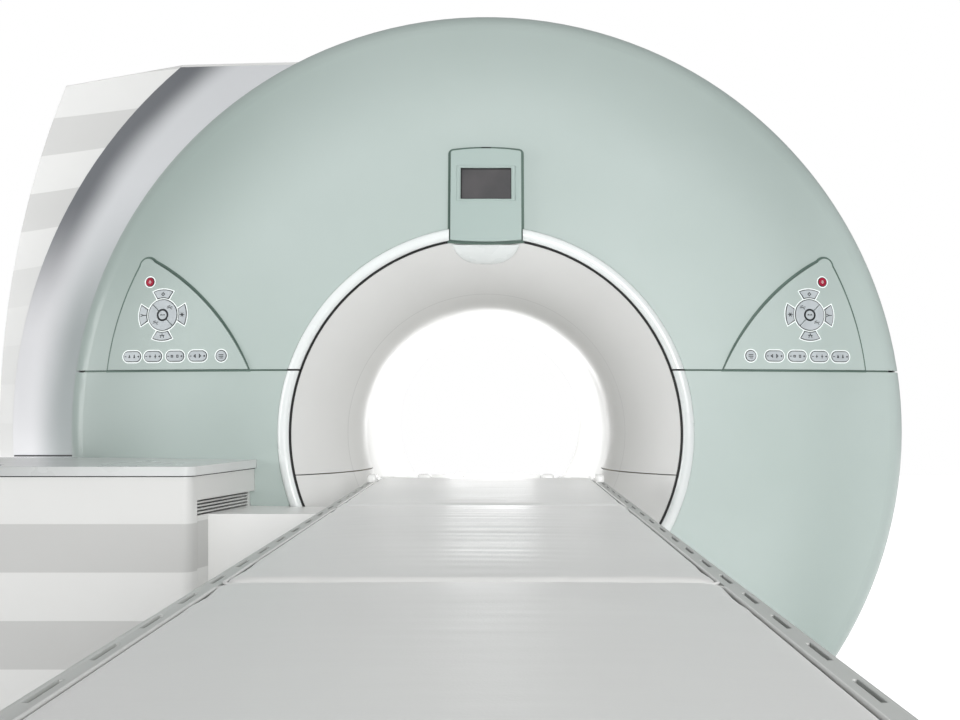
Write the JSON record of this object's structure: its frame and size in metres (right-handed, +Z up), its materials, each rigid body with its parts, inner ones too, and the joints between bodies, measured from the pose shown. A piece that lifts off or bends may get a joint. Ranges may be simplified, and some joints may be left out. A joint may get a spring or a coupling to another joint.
{
  "type": "magnetic resonance imaging scanner",
  "caption": "Whole-body magnetic resonance scanner: round domed front cover, flared bore, display, key panels, striped side cover, side cabinet and a lifting, sliding patient table.",
  "frame": {"origin": "on the floor under the isocentre, at the centre of the four magnet feet", "axes": "+X to the operator's right when facing the bore from the table, +Y along the bore away from the table, +Z up"},
  "size_m": [2.388, 3.967, 2.105],
  "materials": {
    "sage_cover": "satin",
    "white_trim": "gloss",
    "funnel_white": "satin",
    "bore_lining": "satin",
    "silver_paint": "satin",
    "striped_cover": "satin",
    "plain_cover": "satin",
    "coil_resin": "matte",
    "vessel_steel": "satin",
    "winding_copper": "satin",
    "cold_head_steel": "satin",
    "foot_iron": "matte",
    "screen_glass": "gloss",
    "key_silver": "satin",
    "stop_red": "gloss",
    "cabinet_paint": "satin",
    "lid_grey": "gloss",
    "deck_composite": "matte",
    "table_paint": "satin",
    "tray_composite": "satin",
    "cushion_vinyl": "satin"
  },
  "bodies": {
    "scanner": {"front_cover_upper": "sage_cover", "front_cover_lower": "sage_cover", "mouth_ring_upper": "white_trim", "mouth_ring_lower": "white_trim", "front_funnel_upper": "funnel_white", "front_funnel_lower": "funnel_white", "rear_cover": "sage_cover", "rear_funnel": "funnel_white", "flare_cover": "silver_paint", "side_cover_left": "striped_cover", "side_cover_right": "plain_cover", "roof_cover": "plain_cover", "magnet_vessel": "vessel_steel", "magnet_windings": "winding_copper", "cold_head": "cold_head_steel", "quench_outlet": "vessel_steel", "gradient_coil": "coil_resin", "body_coil_tube": "bore_lining", "magnet_feet": "foot_iron", "display_housing": "sage_cover", "display_glass": "screen_glass", "control_panel_left": "sage_cover", "control_panel_right": "sage_cover", "side_cabinet": "cabinet_paint", "cabinet_lid": "lid_grey", "plinth": "cabinet_paint", "bore_deck": "deck_composite", "table_base": "table_paint"},
    "column": {"middle_column": "table_paint"},
    "carriage": {"table_frame": "table_paint"},
    "couch_top": {"tabletop": "tray_composite", "cushion_head": "cushion_vinyl", "cushion_middle": "cushion_vinyl", "cushion_foot": "cushion_vinyl"},
    "left_stop_key": {"left_stop_key": "stop_red"},
    "left_up_key": {"left_up_key": "key_silver"},
    "left_down_key": {"left_down_key": "key_silver"},
    "left_outer_key": {"left_outer_key": "key_silver"},
    "left_inner_key": {"left_inner_key": "key_silver"},
    "left_dial_upper_key": {"left_dial_upper_key": "key_silver"},
    "left_dial_lower_key": {"left_dial_lower_key": "key_silver"},
    "left_centre_key": {"left_centre_key": "key_silver"},
    "left_round_key": {"left_round_key": "key_silver"},
    "left_rocker_1": {"left_rocker_1": "key_silver"},
    "left_rocker_2": {"left_rocker_2": "key_silver"},
    "left_rocker_3": {"left_rocker_3": "key_silver"},
    "left_rocker_4": {"left_rocker_4": "key_silver"},
    "right_stop_key": {"right_stop_key": "stop_red"},
    "right_up_key": {"right_up_key": "key_silver"},
    "right_down_key": {"right_down_key": "key_silver"},
    "right_outer_key": {"right_outer_key": "key_silver"},
    "right_inner_key": {"right_inner_key": "key_silver"},
    "right_dial_upper_key": {"right_dial_upper_key": "key_silver"},
    "right_dial_lower_key": {"right_dial_lower_key": "key_silver"},
    "right_centre_key": {"right_centre_key": "key_silver"},
    "right_round_key": {"right_round_key": "key_silver"},
    "right_rocker_1": {"right_rocker_1": "key_silver"},
    "right_rocker_2": {"right_rocker_2": "key_silver"},
    "right_rocker_3": {"right_rocker_3": "key_silver"},
    "right_rocker_4": {"right_rocker_4": "key_silver"}
  },
  "joints": [
    {"name": "lift", "type": "slide", "parent": "scanner", "child": "carriage", "axis": [0, 0, 1], "range_m": [-0.43, 0]},
    {"name": "column_follow", "type": "slide", "parent": "scanner", "child": "column", "axis": [0, 0, 1], "range_m": [-0.215, 0]},
    {"name": "tabletop_travel", "type": "slide", "parent": "carriage", "child": "couch_top", "axis": [0, 1, 0], "range_m": [0, 1.55]},
    {"name": "left_stop_key_press", "type": "slide", "parent": "scanner", "child": "left_stop_key", "axis": [0, 1, 0], "range_m": [0, 0.0015], "stiffness_N_per_m": 800},
    {"name": "left_up_key_press", "type": "slide", "parent": "scanner", "child": "left_up_key", "axis": [0, 1, 0], "range_m": [0, 0.0015], "stiffness_N_per_m": 800},
    {"name": "left_down_key_press", "type": "slide", "parent": "scanner", "child": "left_down_key", "axis": [0, 1, 0], "range_m": [0, 0.0015], "stiffness_N_per_m": 800},
    {"name": "left_outer_key_press", "type": "slide", "parent": "scanner", "child": "left_outer_key", "axis": [0, 1, 0], "range_m": [0, 0.0015], "stiffness_N_per_m": 800},
    {"name": "left_inner_key_press", "type": "slide", "parent": "scanner", "child": "left_inner_key", "axis": [0, 1, 0], "range_m": [0, 0.0015], "stiffness_N_per_m": 800},
    {"name": "left_dial_upper_key_press", "type": "slide", "parent": "scanner", "child": "left_dial_upper_key", "axis": [0, 1, 0], "range_m": [0, 0.0015], "stiffness_N_per_m": 800},
    {"name": "left_dial_lower_key_press", "type": "slide", "parent": "scanner", "child": "left_dial_lower_key", "axis": [0, 1, 0], "range_m": [0, 0.0015], "stiffness_N_per_m": 800},
    {"name": "left_centre_key_press", "type": "slide", "parent": "scanner", "child": "left_centre_key", "axis": [0, 1, 0], "range_m": [0, 0.0015], "stiffness_N_per_m": 800},
    {"name": "left_round_key_press", "type": "slide", "parent": "scanner", "child": "left_round_key", "axis": [0, 1, 0], "range_m": [0, 0.0015], "stiffness_N_per_m": 800},
    {"name": "left_rocker_1_tilt", "type": "hinge", "parent": "scanner", "child": "left_rocker_1", "pos_m": [-0.8235, -0.70457, 1.198], "axis": [0, 0, 1], "range_deg": [-2, 2], "stiffness_Nm_per_rad": 0.6},
    {"name": "left_rocker_2_tilt", "type": "hinge", "parent": "scanner", "child": "left_rocker_2", "pos_m": [-0.7705, -0.7206, 1.198], "axis": [0, 0, 1], "range_deg": [-2, 2], "stiffness_Nm_per_rad": 0.6},
    {"name": "left_rocker_3_tilt", "type": "hinge", "parent": "scanner", "child": "left_rocker_3", "pos_m": [-0.7155, -0.73601, 1.198], "axis": [0, 0, 1], "range_deg": [-2, 2], "stiffness_Nm_per_rad": 0.6},
    {"name": "left_rocker_4_tilt", "type": "hinge", "parent": "scanner", "child": "left_rocker_4", "pos_m": [-0.66, -0.75033, 1.198], "axis": [0, 0, 1], "range_deg": [-2, 2], "stiffness_Nm_per_rad": 0.6},
    {"name": "right_stop_key_press", "type": "slide", "parent": "scanner", "child": "right_stop_key", "axis": [0, 1, 0], "range_m": [0, 0.0015], "stiffness_N_per_m": 800},
    {"name": "right_up_key_press", "type": "slide", "parent": "scanner", "child": "right_up_key", "axis": [0, 1, 0], "range_m": [0, 0.0015], "stiffness_N_per_m": 800},
    {"name": "right_down_key_press", "type": "slide", "parent": "scanner", "child": "right_down_key", "axis": [0, 1, 0], "range_m": [0, 0.0015], "stiffness_N_per_m": 800},
    {"name": "right_outer_key_press", "type": "slide", "parent": "scanner", "child": "right_outer_key", "axis": [0, 1, 0], "range_m": [0, 0.0015], "stiffness_N_per_m": 800},
    {"name": "right_inner_key_press", "type": "slide", "parent": "scanner", "child": "right_inner_key", "axis": [0, 1, 0], "range_m": [0, 0.0015], "stiffness_N_per_m": 800},
    {"name": "right_dial_upper_key_press", "type": "slide", "parent": "scanner", "child": "right_dial_upper_key", "axis": [0, 1, 0], "range_m": [0, 0.0015], "stiffness_N_per_m": 800},
    {"name": "right_dial_lower_key_press", "type": "slide", "parent": "scanner", "child": "right_dial_lower_key", "axis": [0, 1, 0], "range_m": [0, 0.0015], "stiffness_N_per_m": 800},
    {"name": "right_centre_key_press", "type": "slide", "parent": "scanner", "child": "right_centre_key", "axis": [0, 1, 0], "range_m": [0, 0.0015], "stiffness_N_per_m": 800},
    {"name": "right_round_key_press", "type": "slide", "parent": "scanner", "child": "right_round_key", "axis": [0, 1, 0], "range_m": [0, 0.0015], "stiffness_N_per_m": 800},
    {"name": "right_rocker_1_tilt", "type": "hinge", "parent": "scanner", "child": "right_rocker_1", "pos_m": [0.8235, -0.70457, 1.198], "axis": [0, 0, 1], "range_deg": [-2, 2], "stiffness_Nm_per_rad": 0.6},
    {"name": "right_rocker_2_tilt", "type": "hinge", "parent": "scanner", "child": "right_rocker_2", "pos_m": [0.7705, -0.7206, 1.198], "axis": [0, 0, 1], "range_deg": [-2, 2], "stiffness_Nm_per_rad": 0.6},
    {"name": "right_rocker_3_tilt", "type": "hinge", "parent": "scanner", "child": "right_rocker_3", "pos_m": [0.7155, -0.73601, 1.198], "axis": [0, 0, 1], "range_deg": [-2, 2], "stiffness_Nm_per_rad": 0.6},
    {"name": "right_rocker_4_tilt", "type": "hinge", "parent": "scanner", "child": "right_rocker_4", "pos_m": [0.66, -0.75033, 1.198], "axis": [0, 0, 1], "range_deg": [-2, 2], "stiffness_Nm_per_rad": 0.6}
  ],
  "couplings": [
    {"joint": "column_follow", "follows": "lift", "ratio": 0.5}
  ]
}
